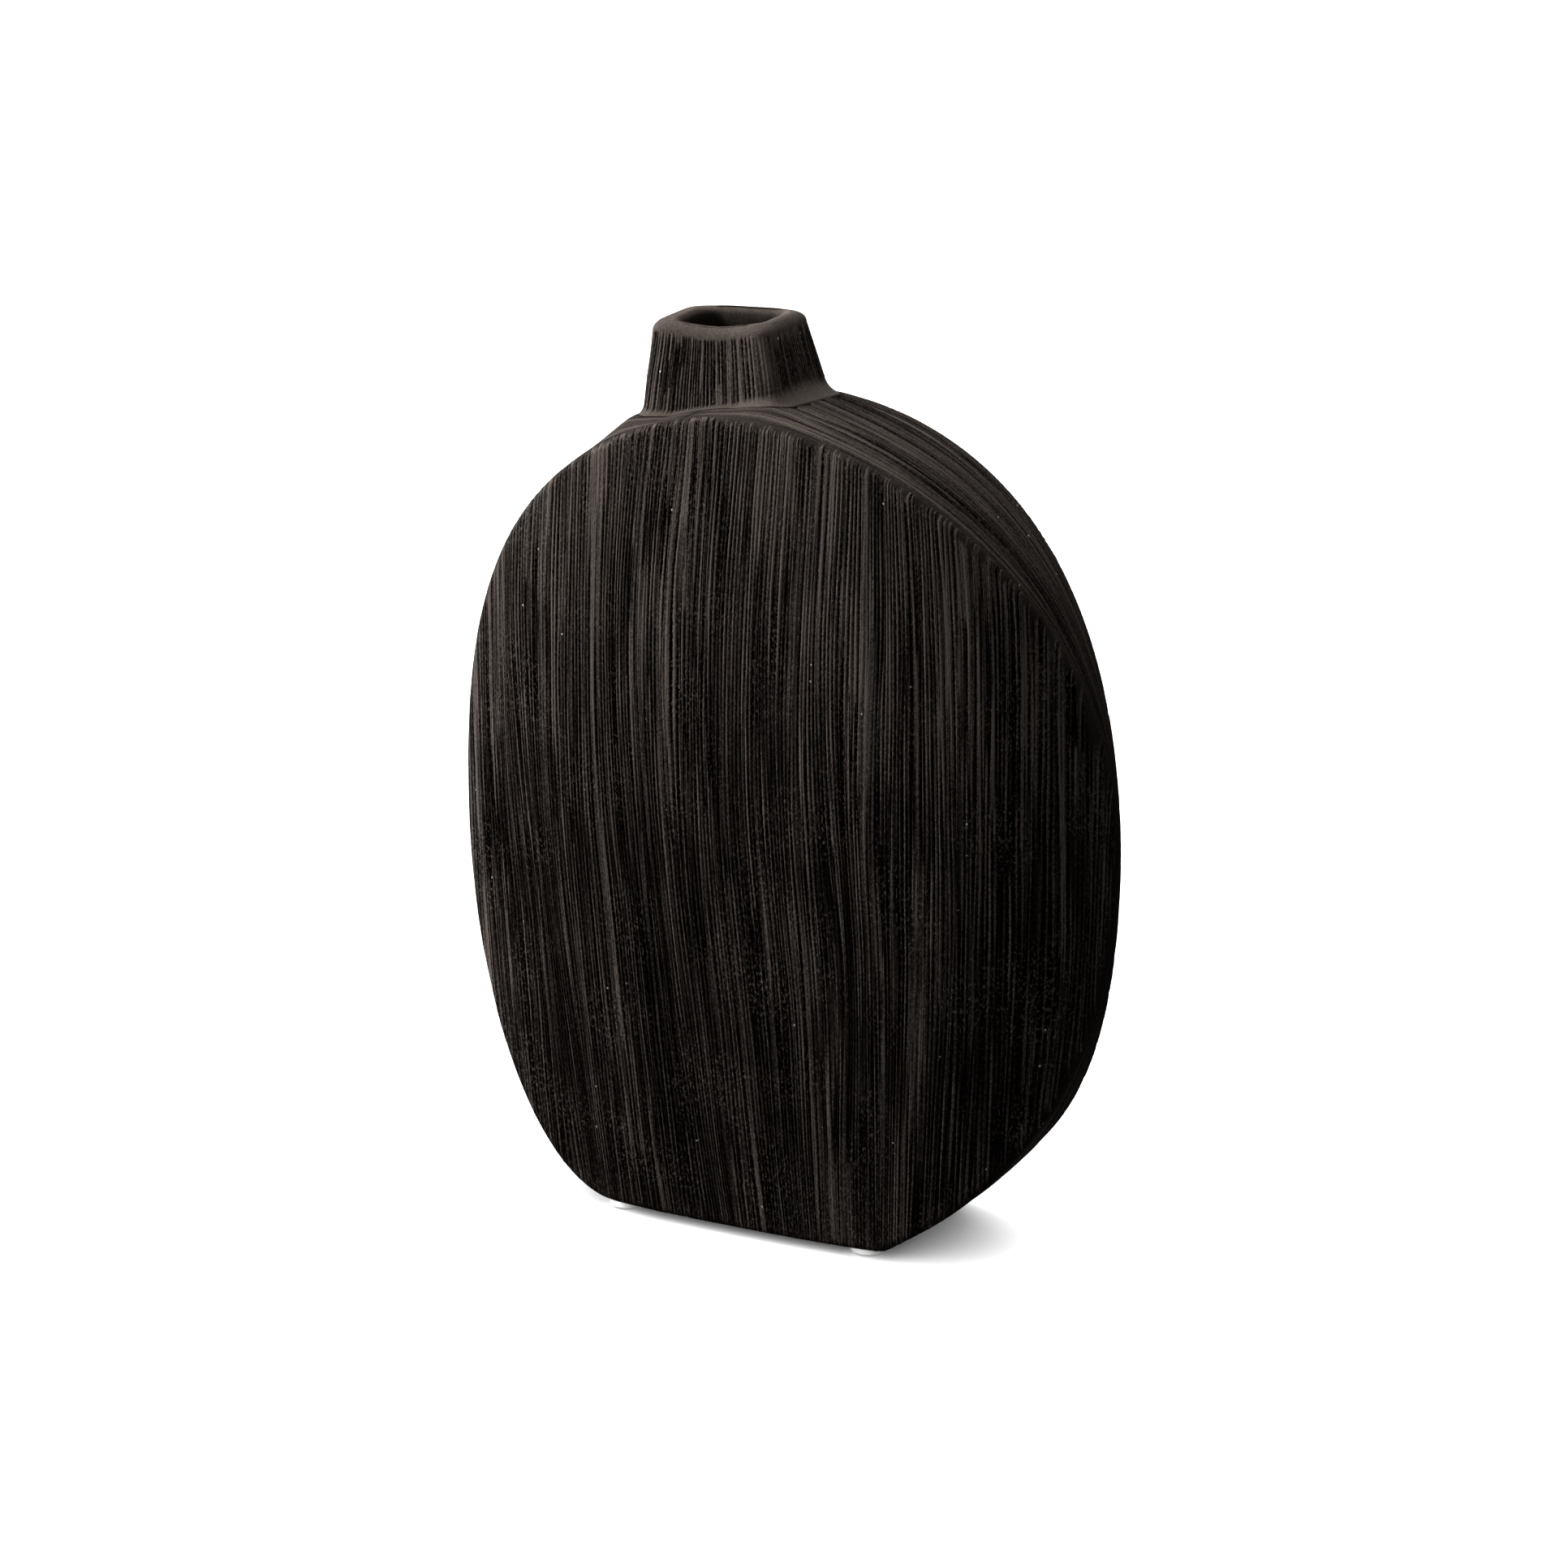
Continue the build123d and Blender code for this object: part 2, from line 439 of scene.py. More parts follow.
def face_piece(name, side, seed):
    """One bowed face with its softened ridge, and the inner side of the slab. side is -1 for the front."""
    gen = np.random.default_rng(seed)
    x = spread(HALF, 2.5, FACE_STEP)
    strokes = Strokes(x)
    low, high = strokes.ends(outer)
    slant = [np.abs(np.gradient(end, strokes.at(end[:, None])[:, 0])) for end in (low, high)]
    slope = np.sqrt(1 + np.maximum(*slant) ** 2)
    z = rim_rows(low, high, np.minimum(slope, 12), 4.5, FACE_ROWS)
    across = np.repeat(x[:, None], z.shape[1], 1)
    xx = strokes.at(z)
    # d is the distance to the outline; the ridge rounds off within the radius r of it
    d = np.array([tree.find((a, b, 0))[2] for a, b in zip(xx.ravel(), z.ravel())]).reshape(z.shape)
    d[:, 0] = d[:, -1] = 0
    depth = depth_at(xx)
    r = round_at(depth)
    drop = np.where(d < r, r - np.sqrt(np.maximum(r * r - (r - d) ** 2, 0)), 0)
    y = depth / 2 - drop
    p = np.stack([xx, side * y, z], -1)
    normal = grid_normals(p)
    if normal[len(x) // 2, z.shape[1] // 2, 1] * side < 0:
        normal = -normal

    ragged = 1.2 * value_noise(across / 0.45, z / 40, seed + 1)
    ragged = ragged + 0.5 * value_noise(across / 5, z / 40, seed + 6)
    clear = smoothstep(0.0, 1.3, d + ragged)
    rough = 0.48 + 0.4 * value_noise(across / 9, z / 60, seed + 3) + 0.4 * smoothstep(165, 85, z)
    rough = np.clip(rough - 0.6 * smoothstep(-52, -76, xx), 0, 1)
    drifted, width, relief = tool_marks(across, z, seed + 7, rough, 0.45)
    gouge = comb(across, z, 70, gen, (2, 9), (0.7, 1.6), (16, 80), (0.3, 0.6), (0.10, 0.30)) * clear
    height = np.minimum(relief * clear, gouge) * (0.3 + 0.7 * smoothstep(0.5, 4.5, d))
    swell = 0.09 * value_noise(across / 3.1, z / 45, seed + 4)
    swell = swell + 0.05 * value_noise(across / 1.2, z / 30, seed + 5)
    height = height + swell * clear
    p = p + normal * height[:, :, None]

    verts = p.reshape(-1, 3)
    rows, cols = z.shape
    flip = side > 0
    faces = grid_faces(rows, cols, 0, flip=flip)
    loop = border(rows, cols, 0)
    lap = verts[loop].copy()
    lap_depth = depth_at(lap[:, 0])
    lap[:, 1] = side * (lap_depth / 2 - round_at(lap_depth) - lap_at(lap_depth))
    lap_ids = len(verts) + np.arange(len(loop))
    strip = np.stack([loop, lap_ids, np.roll(lap_ids, -1), np.roll(loop, -1)], 1)
    strip = strip[:, ::-1] if flip else strip
    faces += strip.tolist()

    # inner side of the slab
    xi = spread(HALF - WALL, 2.0, 4.0, count=6)
    low_i, high_i = heights(inner, xi)
    zi = low_i[:, None] + (high_i - low_i)[:, None] * np.linspace(0, 1, INNER_ROWS)
    xi = np.repeat(xi[:, None], INNER_ROWS, 1)
    pi = np.stack([xi, side * cavity_at(xi), zi], -1)
    inner_start = len(verts) + len(loop)
    faces += grid_faces(len(xi), INNER_ROWS, inner_start, flip=not flip)
    inner_loop = border(len(xi), INNER_ROWS, inner_start)
    points = np.concatenate([verts, lap, pi.reshape(-1, 3)])
    ka, kb = loop_keys(points[lap_ids][:, [0, 2]]), loop_keys(points[inner_loop][:, [0, 2]])
    kb = kb + 2 * math.pi * round((ka[0] - kb[0]) / (2 * math.pi))
    faces += stitch(lap_ids, ka, inner_loop, kb, flip=flip)

    flow, marks, gouges = surface_data(len(points), drifted, points[:, 2], seed, width, clear, gouge)
    flow[rows * cols :, 0] = points[rows * cols :, 0]
    return make_piece(name, points, faces, flow, marks, gouges)


front = face_piece("front_face", -1, 11)
back = face_piece("back_face", 1, 23)


# ---------------------------------------------------------------- bands and base
INNER_COLS = 6  # grid points across the inner side of a band


def station_near(x, z):
    """Number of the outline's station nearest to a point."""
    return int(np.hypot(outer[:, 0] - x, outer[:, 1] - z).argmin())


total_stations = len(outer)
seam = station_near(NECK_X, HEIGHT)
left_cut = station_near(-BASE_LEFT + 1, 0)
right_cut = station_near(BASE_RIGHT - 1, 0)


def band_piece(name, start, end, cols, seed, step):
    """Edge strip between two stations of the outline, its outer side combed along its length. cols is the
    number of points across it and step their spacing along it."""
    gen = np.random.default_rng(seed)
    if end <= start:
        end += total_stations
    count = max(3, int((end - start) * STEP / step))
    ids = np.round(np.linspace(start, end, count + 1)).astype(int)
    s = ids * STEP
    ids = ids % total_stations
    p2, n2, q2 = outer[ids], outward[ids], inner[ids]
    # y, ww and ss: position across the band in mm, the same in a scale that ignores its taper, and along it
    depth = depth_at(p2[:, 0])
    half = depth / 2 - round_at(depth) - lap_at(depth)
    w = np.linspace(-1, 1, cols)
    y = half[:, None] * w
    near_top = p2[:, 1:] > HEIGHT / 2
    crown = crown_at(depth[:, None], y) + mound_at(p2[:, :1], y, depth[:, None]) * near_top
    ss = np.repeat(s[:, None], cols, 1)
    ww = (w * DEPTH / 2)[None, :] + np.zeros_like(y)
    edge = half[:, None] - np.abs(y) + 0.5 * value_noise(ww / 3, ss / 9, seed + 9)
    inside = smoothstep(0.1, 1.5, edge)
    # the strip in front of the neck is only lightly combed, and the seam there is smoothed over
    beside = smoothstep(NECK_FOOT[0] + 10, NECK_FOOT[0] + 1, np.abs(p2[:, :1] - NECK_X)) * near_top
    inside = inside * (1 - 0.75 * beside * smoothstep(-7, -10, y))
    inside = inside * (1 - near_top * smoothstep(4, 1, np.abs(p2[:, :1] - NECK_X)))
    narrow = np.clip(depth / DEPTH * 1.6, 0.25, 1)[:, None]
    rough = np.clip(0.5 + 0.4 * value_noise(ww / 8, ss / 60, seed + 3), 0, 1)
    drifted, width, relief = tool_marks(ww / 0.72, ss, seed + 7, rough, 0.2)
    gouge = comb(ww.T, ss.T, 45, gen, (2, 9), (0.7, 1.6), (16, 90), (0.36, 0.6), (0.10, 0.28)).T
    gouge = gouge * inside
    height = np.minimum(0.72 * relief * inside, gouge) * narrow
    height += 0.08 * value_noise(ww / 3, ss / 30, seed + 4) * inside * narrow
    out = crown + height
    outer_p = np.stack([p2[:, :1] + n2[:, :1] * out, y, p2[:, 1:] + n2[:, 1:] * out], -1)
    inner_y = cavity_at(q2[:, 0])[:, None] * np.linspace(-1, 1, INNER_COLS)
    inner_x, inner_z = np.repeat(q2[:, :1], INNER_COLS, 1), np.repeat(q2[:, 1:], INNER_COLS, 1)
    inner_p = np.stack([inner_x, inner_y, inner_z], -1)
    rows = len(ids)
    b = rows * cols
    far, far_in = cols - 1, INNER_COLS - 1
    faces = grid_faces(rows, cols)
    faces += grid_faces(rows, INNER_COLS, b, flip=True)
    for k in range(rows - 1):
        lower, upper = k * cols, (k + 1) * cols
        lower_in, upper_in = b + k * INNER_COLS, b + (k + 1) * INNER_COLS
        faces.append([lower, lower_in, upper_in, upper])
        faces.append([upper + far, upper_in + far_in, lower_in + far_in, lower + far])
    outer_end, inner_end = list(range(cols)), list(range(INNER_COLS))[::-1]
    last, last_in = (rows - 1) * cols, b + (rows - 1) * INNER_COLS
    faces.append(outer_end + [b + j for j in inner_end])
    faces.append(([last + j for j in outer_end] + [last_in + j for j in inner_end])[::-1])
    points = np.concatenate([outer_p.reshape(-1, 3), inner_p.reshape(-1, 3)])
    flow, marks, gouges = surface_data(len(points), drifted, ss, seed, width, inside, gouge)
    return make_piece(name, points, faces, flow, marks, gouges)


left = band_piece("left_edge_band", seam, left_cut, 250, 31, 1.3)
right = band_piece("right_edge_band", right_cut, seam, 250, 43, 1.3)
base = band_piece("base_underside", left_cut, right_cut, 60, 57, 3)


# ---------------------------------------------------------------- neck
def rounded(a, b, r, u):
    """Points on a rounded rectangle of half width a, half depth b and corner radius r. u from 0 to 1 runs
    round it, even along its length, from the middle of the +x side toward +y."""
    a, b, r = (np.broadcast_to(np.asarray(v, float), np.shape(u)) for v in (a, b, r))
    sx, sy, arc = 2 * (a - r), 2 * (b - r), math.pi / 2 * r
    total = 2 * (sx + sy) + 4 * arc
    t = (u % 1) * total
    pts = np.zeros(np.shape(u) + (2,))
    begin = np.zeros(np.shape(u))
    corners = [(1, 1), (-1, 1), (-1, -1), (1, -1)]
    for k, leg in enumerate((sy / 2, arc, sx, arc, sy, arc, sx, arc, sy / 2)):
        inside = (t >= begin) & (t <= begin + leg)
        f = t - begin
        if k % 2 == 1:
            cx, cy = corners[k // 2]
            turn = k // 2 * 0.5 * math.pi + f / np.maximum(r, 1e-9)
            val = np.stack([cx * (a - r) + r * np.cos(turn), cy * (b - r) + r * np.sin(turn)], -1)
        elif k in (0, 8):
            val = np.stack([a, f - (sy / 2 if k else 0)], -1)
        elif k == 4:
            val = np.stack([-a, b - r - f], -1)
        else:
            way = 1 if k == 2 else -1
            val = np.stack([way * (a - r - f), way * b], -1)
        pts = np.where(inside[..., None], val, pts)
        begin = begin + leg
    return pts


def shoulder(x, y):
    """Height of the clay on top of the bands."""
    depth = depth_at(x)
    return heights(outer, x)[1] + crown_at(depth, y) + mound_at(x, y, depth)


NECK_COLS = 640  # grid points round the neck
LIP = 14.6, 10.1  # half width and half depth of the neck at the lip
LIP_ROUND, BORE_ROUND = 2.45, 1.5  # outer and inner edge of the lip
CORNER = 3.1  # upright corners of the neck at its foot
BORE = 10.0, 7.2, 4.4  # half width, half depth and corner radius of the mouth
SPIGOT_WALL, SPIGOT_LOW, SPIGOT_HIGH = 2.4, 8, 3.5  # the part below the shoulder; its ends' depths


def neck_piece():
    """The neck as a stack of rings: skirt, wall, lip, bore and spigot."""
    gen = np.random.default_rng(71)
    cols = NECK_COLS
    u = np.arange(cols) / cols + 0.25
    around = rounded(NECK_FOOT[0], NECK_FOOT[1], CORNER, u)
    angle = np.arctan2(around[:, 1], around[:, 0])
    # radius of the smoothed clay round the foot: fullest on the right, tight in front
    sweep = 2.2 + 2.6 * np.clip(np.cos(angle), 0, 1) ** 3
    sweep = sweep - 1.1 * np.clip(-np.sin(angle), 0, 1) ** 2
    rows = []

    def ring(a, b, r, z, shift=0.0):
        xy = rounded(a, b, r, u) + (NECK_X + shift, NECK_Y)
        rows.append(np.column_stack([xy, np.full(cols, z)]))

    # skirt, from the shoulder up
    for phi in np.radians(np.linspace(90, 8, 12)):
        grow, rise = sweep * (1 - math.cos(phi)), sweep * (1 - math.sin(phi))
        xy = rounded(NECK_FOOT[0] + grow, NECK_FOOT[1] + grow, CORNER + grow, u)
        xy = xy + (NECK_X + 0.3, NECK_Y)
        rows.append(np.column_stack([xy, shoulder(xy[:, 0], xy[:, 1]) + rise + 0.03]))
    skirt = len(rows)
    # tapering wall
    start = rows[-1][:, 2]
    for f in np.linspace(0, 1, 46)[1:]:
        a, b = (foot + (lip - foot) * f for foot, lip in zip(NECK_FOOT, LIP))
        ring(a, b, CORNER + 0.3 * f, start * (1 - f) + (LIP_Z - LIP_ROUND) * f, 0.3 - 0.7 * f)
    wall_end = len(rows)
    # lip: over the top and into the bore
    for phi in np.radians(np.linspace(0, 90, 9)[1:]):
        inward, down = LIP_ROUND * (1 - math.cos(phi)), LIP_ROUND * (1 - math.sin(phi))
        ring(LIP[0] - inward, LIP[1] - inward, CORNER + 0.3 + 0.6 * (1 - math.cos(phi)), LIP_Z - down, -0.4)
    lip_end = len(rows)
    for phi in np.radians(np.linspace(0, 90, 8)[1:]):
        grow, down = BORE_ROUND * (1 - math.sin(phi)), BORE_ROUND * (1 - math.cos(phi))
        ring(BORE[0] + grow, BORE[1] + grow, BORE[2], LIP_Z - down)
    for z in np.linspace(LIP_Z - BORE_ROUND - 1, HEIGHT - SPIGOT_LOW, 14):
        ring(*BORE, z)
    for below in (SPIGOT_LOW, SPIGOT_HIGH):
        ring(*(v + SPIGOT_WALL for v in BORE), HEIGHT - below)
    grid = np.array(rows)
    # the lip was cut by hand: a little low in front, lowest in the middle
    lift = smoothstep(HEIGHT + 4, LIP_Z - 4, grid[:, :, 2])
    front = np.clip((NECK_Y + LIP[1] - grid[:, :, 1]) / (2 * LIP[1]), 0, 1)
    middle = np.exp(-(((grid[:, :, 0] - NECK_X) / 8) ** 2))
    grid[:, :, 2] -= lift * (1.3 * front + 1.3 * middle * front**2)
    grid[:, :, 2] += lift * 0.15 * value_noise(grid[:, :, 0] / 7, grid[:, :, 1] / 7, 77)
    across = np.repeat((u * 2 * (NECK_FOOT[0] + NECK_FOOT[1]) * 2)[None, :], len(rows), 0)
    along = grid[:, :, 2]
    normal = np.cross(np.roll(grid, -1, 1) - np.roll(grid, 1, 1), np.gradient(grid, axis=0))
    normal /= np.linalg.norm(normal, axis=2)[:, :, None] + 1e-12
    row = np.arange(len(rows))[:, None]
    ragged = 2.4 * value_noise(across / 0.9, along / 30, 72)
    clear = smoothstep(skirt - 7, skirt - 1, row) * smoothstep(LIP_Z - 2.2, LIP_Z - 6.0, along + ragged)
    # the right corner in front is rubbed smooth
    corner_at = math.atan2(-NECK_FOOT[1], NECK_FOOT[0])
    polished = 0.75 * np.exp(-(((angle - corner_at) / 0.09) ** 2))
    clear = clear * (row < wall_end) * (1 - polished[None, :] * smoothstep(HEIGHT - 2, HEIGHT + 9, along))
    rough = np.clip(0.75 + 0.5 * value_noise(across / 5, along / 25, 73), 0, 1)
    drifted, width, relief = tool_marks(across, along, 76, rough, 0.4)
    gouge = comb(across.T, along.T, 30, gen, (2, 7), (0.7, 1.5), (8, 26), (0.36, 0.6), (0.1, 0.3)).T
    gouge = gouge * clear
    height = np.minimum(relief * clear, gouge)
    # tone of the uncombed clay, a little darker on the front of the skirt; the dark crease at the foot and
    # the darkening down the bore are painted shade
    in_front = np.clip(-np.sin(angle), 0, 1) ** 2
    bare_tone_and_shade = np.where(row < skirt, 0.74 - 0.24 * in_front[None, :], 0.72)
    bare_tone_and_shade = np.where(row < 2, 0.12, bare_tone_and_shade)
    bare_tone_and_shade = np.where(row >= lip_end, np.clip(1 - (row - lip_end) / 9, 0.12, 1), bare_tone_and_shade)
    grid = grid + normal * height[:, :, None]
    verts = grid.reshape(-1, 3)
    # the rows close into a ring: the last one, at the top of the spigot, joins the first
    i, j = row * cols, np.arange(cols)[None, :]
    i2, j2 = np.roll(i, -1), np.roll(j, -1)
    quad = np.stack([i + j, i + j2, i2 + j2, i2 + j], -1).reshape(-1, 4)
    flow = np.stack([drifted.ravel(), along.ravel(), np.full(len(verts), 71.0)], 1)
    marks = np.stack([width.ravel(), clear.ravel(), bare_tone_and_shade.ravel()], 1)
    return make_piece("neck_collar", verts, quad.tolist(), flow, marks, gouge.ravel())


neck = neck_piece()


def open_shoulder(piece):
    """Cuts the hole under the neck through a band, so the mouth opens into the hollow body."""
    n = 48
    hole = 12.6, 10.1, 6.6  # half width, half depth and corner radius, a little more than the spigot's
    around = rounded(*hole, np.arange(n) / n) + (NECK_X, NECK_Y)
    verts = [(x, y, z + BASE_Z) for z in (HEIGHT - 12, HEIGHT + 3) for x, y in around]
    faces = [list(range(n))[::-1], list(range(n, 2 * n))]
    faces += [[k, (k + 1) % n, n + (k + 1) % n, n + k] for k in range(n)]
    mesh = bpy.data.meshes.new("cutter")
    mesh.from_pydata((np.array(verts) * MM).tolist(), [], faces)
    cutter = bpy.data.objects.new("cutter", mesh)
    bpy.context.scene.collection.objects.link(cutter)
    cut = piece.modifiers.new("hole", "BOOLEAN")
    cut.operation, cut.object, cut.solver = "DIFFERENCE", cutter, "EXACT"
    bpy.context.view_layer.update()
    done = bpy.data.meshes.new_from_object(piece.evaluated_get(bpy.context.evaluated_depsgraph_get()))
    piece.modifiers.clear()
    piece.data = done
    bpy.data.objects.remove(cutter)


for band in (left, right):
    open_shoulder(band)


# ---------------------------------------------------------------- stick-on feet
def pad_piece(name, node):
    """A round pad with a softened lower edge, turned from a profile of radius and height."""
    low, high = (mm(c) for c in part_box(node))
    centre, radius, tall = (low + high) / 2, (high[0] - low[0]) / 2, high[2] - low[2]
    bulge = 0.9  # rounding of the lower edge
    profile = [(radius * 0.35, 0.0), (radius - bulge - 0.4, 0.0)]
    for a in np.radians(np.linspace(0, 90, 8)):
        profile.append((radius - bulge + bulge * math.sin(a), bulge * (1 - math.cos(a))))
    profile += [(radius, tall - 0.15), (radius - 0.05, tall - 0.04)]
    profile += [(radius - 0.15, tall), (radius * 0.5, tall)]
    n = 64
    floor_z = low[2] - BASE_Z
    verts = [(centre[0], centre[1], floor_z)]
    for pr, pz in profile:
        for k in range(n):
            t = 2 * math.pi * k / n
            verts.append((centre[0] + pr * math.cos(t), centre[1] + pr * math.sin(t), floor_z + pz))
    verts.append((centre[0], centre[1], floor_z + tall))
    faces = [[0, 1 + (k + 1) % n, 1 + k] for k in range(n)]
    for start in range(1, 1 + (len(profile) - 1) * n, n):
        for k in range(n):
            a, b = start + k, start + (k + 1) % n
            faces.append([a, b, b + n, a + n])
    top = len(verts) - 1 - n
    faces += [[top + k, top + (k + 1) % n, len(verts) - 1] for k in range(n)]
    return make_piece(name, verts, faces)


pads = [pad_piece(f"foot_pad_{k}", f"pad_{k}") for k in range(1, 5)]


# ---------------------------------------------------------------- materials
LIMITS = "From Min", "From Max", "To Min", "To Max"


class Graph:
    """Short hand for building a shader from maths and noise."""

    def __init__(self, material):
        material.use_nodes = True
        self.tree = material.node_tree
        self.bsdf = self.tree.nodes["Principled BSDF"]

    def new(self, kind, **inputs):
        node = self.tree.nodes.new(kind)
        for key, value in inputs.items():
            self.feed(node.inputs[key.replace("_", " ")], value)
        return node

    def feed(self, socket, value):
        if hasattr(value, "links"):
            self.tree.links.new(value, socket)
        else:
            socket.default_value = value

    def math(self, operation, a, b=0.0):
        node = self.tree.nodes.new("ShaderNodeMath")
        node.operation = operation
        self.feed(node.inputs[0], a)
        self.feed(node.inputs[1], b)
        return node.outputs[0]

    def add(self, a, b):
        return self.math("ADD", a, b)

    def times(self, a, b):
        return self.math("MULTIPLY", a, b)

    def ramp(self, value, low, high, start=0.0, end=1.0):
        node = self.tree.nodes.new("ShaderNodeMapRange")
        node.interpolation_type = "SMOOTHSTEP"
        self.feed(node.inputs["Value"], value)
        for socket, limit in zip(LIMITS, (low, high, start, end)):
            self.feed(node.inputs[socket], limit)
        return node.outputs["Result"]

    def blend(self, factor, a, b):
        """One value between a and b."""
        node = self.tree.nodes.new("ShaderNodeMix")
        self.feed(node.inputs["Factor"], factor)
        self.feed(node.inputs["A"], a)
        self.feed(node.inputs["B"], b)
        return node.outputs["Result"]

    def tint(self, factor, a, b):
        node = self.tree.nodes.new("ShaderNodeMix")
        node.data_type = "RGBA"
        self.feed(node.inputs[0], factor)
        self.feed(node.inputs[6], a)
        self.feed(node.inputs[7], b)
        return node.outputs[2]

    def attribute(self, name, output="Fac"):
        node = self.tree.nodes.new("ShaderNodeAttribute")
        node.attribute_name = name
        return node.outputs[output]

    def noise(self, vector, detail=0.0, scale=1.0):
        return self.new("ShaderNodeTexNoise", Vector=vector, Scale=scale, Detail=detail).outputs["Fac"]

    def drawn(self, across_size, along_size, detail=0.0, shift=0.0):
        """Noise drawn out along the combing; sizes in mm."""
        point = self.new("ShaderNodeCombineXYZ")
        self.feed(point.inputs["X"], self.times(self.across, 1 / across_size))
        self.feed(point.inputs["Y"], self.times(self.along, 1 / along_size))
        self.feed(point.inputs["Z"], self.add(self.seed, shift))
        return self.noise(point.outputs["Vector"], detail)

    def line(self, value, width):
        """0 on thin wandering lines, 1 between them."""
        return self.ramp(self.math("ABSOLUTE", self.add(value, -0.5)), 0.0, width)


# the dark end of the clay colour, toward which the painted shade of the grooves, the hollow and the bore is
# drawn
DARK_CLAY_AND_SHADE, LIGHT_CLAY = (0.0012, 0.0007, 0.0006, 1), (0.110, 0.088, 0.075, 1)
SPECK = 0.62, 0.60, 0.56, 1


def stoneware():
    """Dark unglazed clay, its tone broken up along the combing. Sizes are in mm, or per metre for noise that
    takes the object's own coordinates."""
    mat = bpy.data.materials.new("stoneware")
    g = Graph(mat)
    split = g.new("ShaderNodeSeparateXYZ", Vector=g.attribute("flow", "Vector"))
    marks = g.new("ShaderNodeSeparateXYZ", Vector=g.attribute("marks", "Vector"))
    width, combed, bare_tone_and_shade = marks.outputs["X"], marks.outputs["Y"], marks.outputs["Z"]
    g.along, g.seed = split.outputs["Y"], split.outputs["Z"]
    place = g.new("ShaderNodeTexCoord").outputs["Object"]
    height = g.new("ShaderNodeSeparateXYZ", Vector=place).outputs["Z"]
    crumbly = g.noise(place, 1.0, 2300)
    g.across = g.add(split.outputs["X"], g.times(g.add(crumbly, -0.5), 0.36))

    # the grooves left by the teeth, with crisp ragged edges, and the stray deep gouges: painted dark, which
    # stands in for the shade inside them
    tooth = g.math("FRACT", g.times(g.across, 1 / PITCH))
    aside = g.times(g.math("ABSOLUTE", g.add(tooth, -0.5)), PITCH)
    flats = g.ramp(aside, g.times(width, 0.45), g.add(g.times(width, 1.25), 0.02))
    depth = g.times(g.ramp(width, 0.01, 0.05), g.ramp(g.drawn(0.8, 26, 0.0, 6.1), 0.34, 0.52, 0.5, 1.0))
    flats = g.blend(depth, 1.0, flats)
    gouge_shade = g.ramp(g.attribute("gouge"), -0.15, -0.02)

    # finer scratches between them
    patch = g.drawn(5.0, 90, 1.0, 1.3)
    rough = g.ramp(g.add(patch, g.ramp(height, 0.185, 0.09, -0.07, 0.06)), 0.34, 0.70)
    smooth = g.ramp(width, 0.10, 0.02)
    second = g.line(g.drawn(0.85, 90, 1.0, 2.9), g.blend(rough, 0.035, 0.07))
    hair = g.ramp(g.drawn(0.30, 26, 0.0, 5.3), 0.32, 0.48)
    fine = g.blend(g.times(second, hair), g.times(g.blend(rough, 0.32, 0.10), g.add(smooth, 0.6)), 1.0)
    shade = g.ramp(g.drawn(0.6, 75, 0.0, 9.2), 0.33, 0.67, 0.35, 1.7)
    scratched = g.times(flats, g.times(fine, shade))
    face = g.times(g.blend(combed, bare_tone_and_shade, scratched), gouge_shade)

    # crumbs of clay caught along the lines, fine grain, rare pale specks
    loose = g.ramp(g.noise(place, 2.0, 55), 0.42, 0.66, 0.3, 1.5)
    crumb = g.times(g.ramp(g.drawn(0.4, 0.9, 1.0, 8.8), 0.55, 0.64), g.times(combed, loose))
    grain = g.noise(place, 2.0, 2000)
    mottle = g.noise(place, 3.0, 70)
    cells = g.new("ShaderNodeTexVoronoi", Vector=place, Scale=190.0)
    pick = g.new("ShaderNodeSeparateColor", Color=cells.outputs["Color"]).outputs[0]
    speck = g.times(g.ramp(cells.outputs["Distance"], 0.055, 0.03), g.ramp(pick, 0.60, 0.62))

    sandy = g.blend(combed, g.ramp(grain, 0.3, 0.7, 0.8, 1.15), g.ramp(grain, 0.3, 0.7, 0.5, 1.45))
    tone = g.times(face, g.times(sandy, g.ramp(mottle, 0.3, 0.7, 0.9, 1.1)))
    # painted light and shade: the clay is painted lighter toward the shoulder and darker toward the base, as
    # the lamps fall, and a little darker again on the lip
    painted_light_by_height = g.times(g.ramp(height, 0.055, 0.19, 0.46, 1.44), g.ramp(height, 0.183, 0.190, 1.0, 0.8))
    tone = g.times(tone, painted_light_by_height)
    tone = g.times(tone, g.blend(g.times(smooth, combed), g.blend(rough, 1.0, 0.8), 1.25))
    tone = g.add(tone, g.times(crumb, 0.36))
    g.feed(g.bsdf.inputs["Base Color"], g.tint(speck, g.tint(tone, DARK_CLAY_AND_SHADE, LIGHT_CLAY), SPECK))
    dry = g.ramp(grain, 0.3, 0.7, 0.95, 0.8)
    g.feed(g.bsdf.inputs["Roughness"], g.blend(g.times(face, smooth), dry, 0.66))
    # the specular level follows the tone, painted shade included, so the grooves lose their sheen as well
    g.feed(g.bsdf.inputs["Specular IOR Level"], g.ramp(tone, 0.0, 0.6, 0.0, 0.16))

    relief = g.add(g.times(scratched, g.times(combed, 0.8)), g.add(g.times(crumb, 0.7), g.times(grain, 0.4)))
    bump = g.new("ShaderNodeBump", Height=relief, Distance=0.00016, Strength=1.0)
    g.feed(g.bsdf.inputs["Normal"], bump.outputs["Normal"])
    return mat


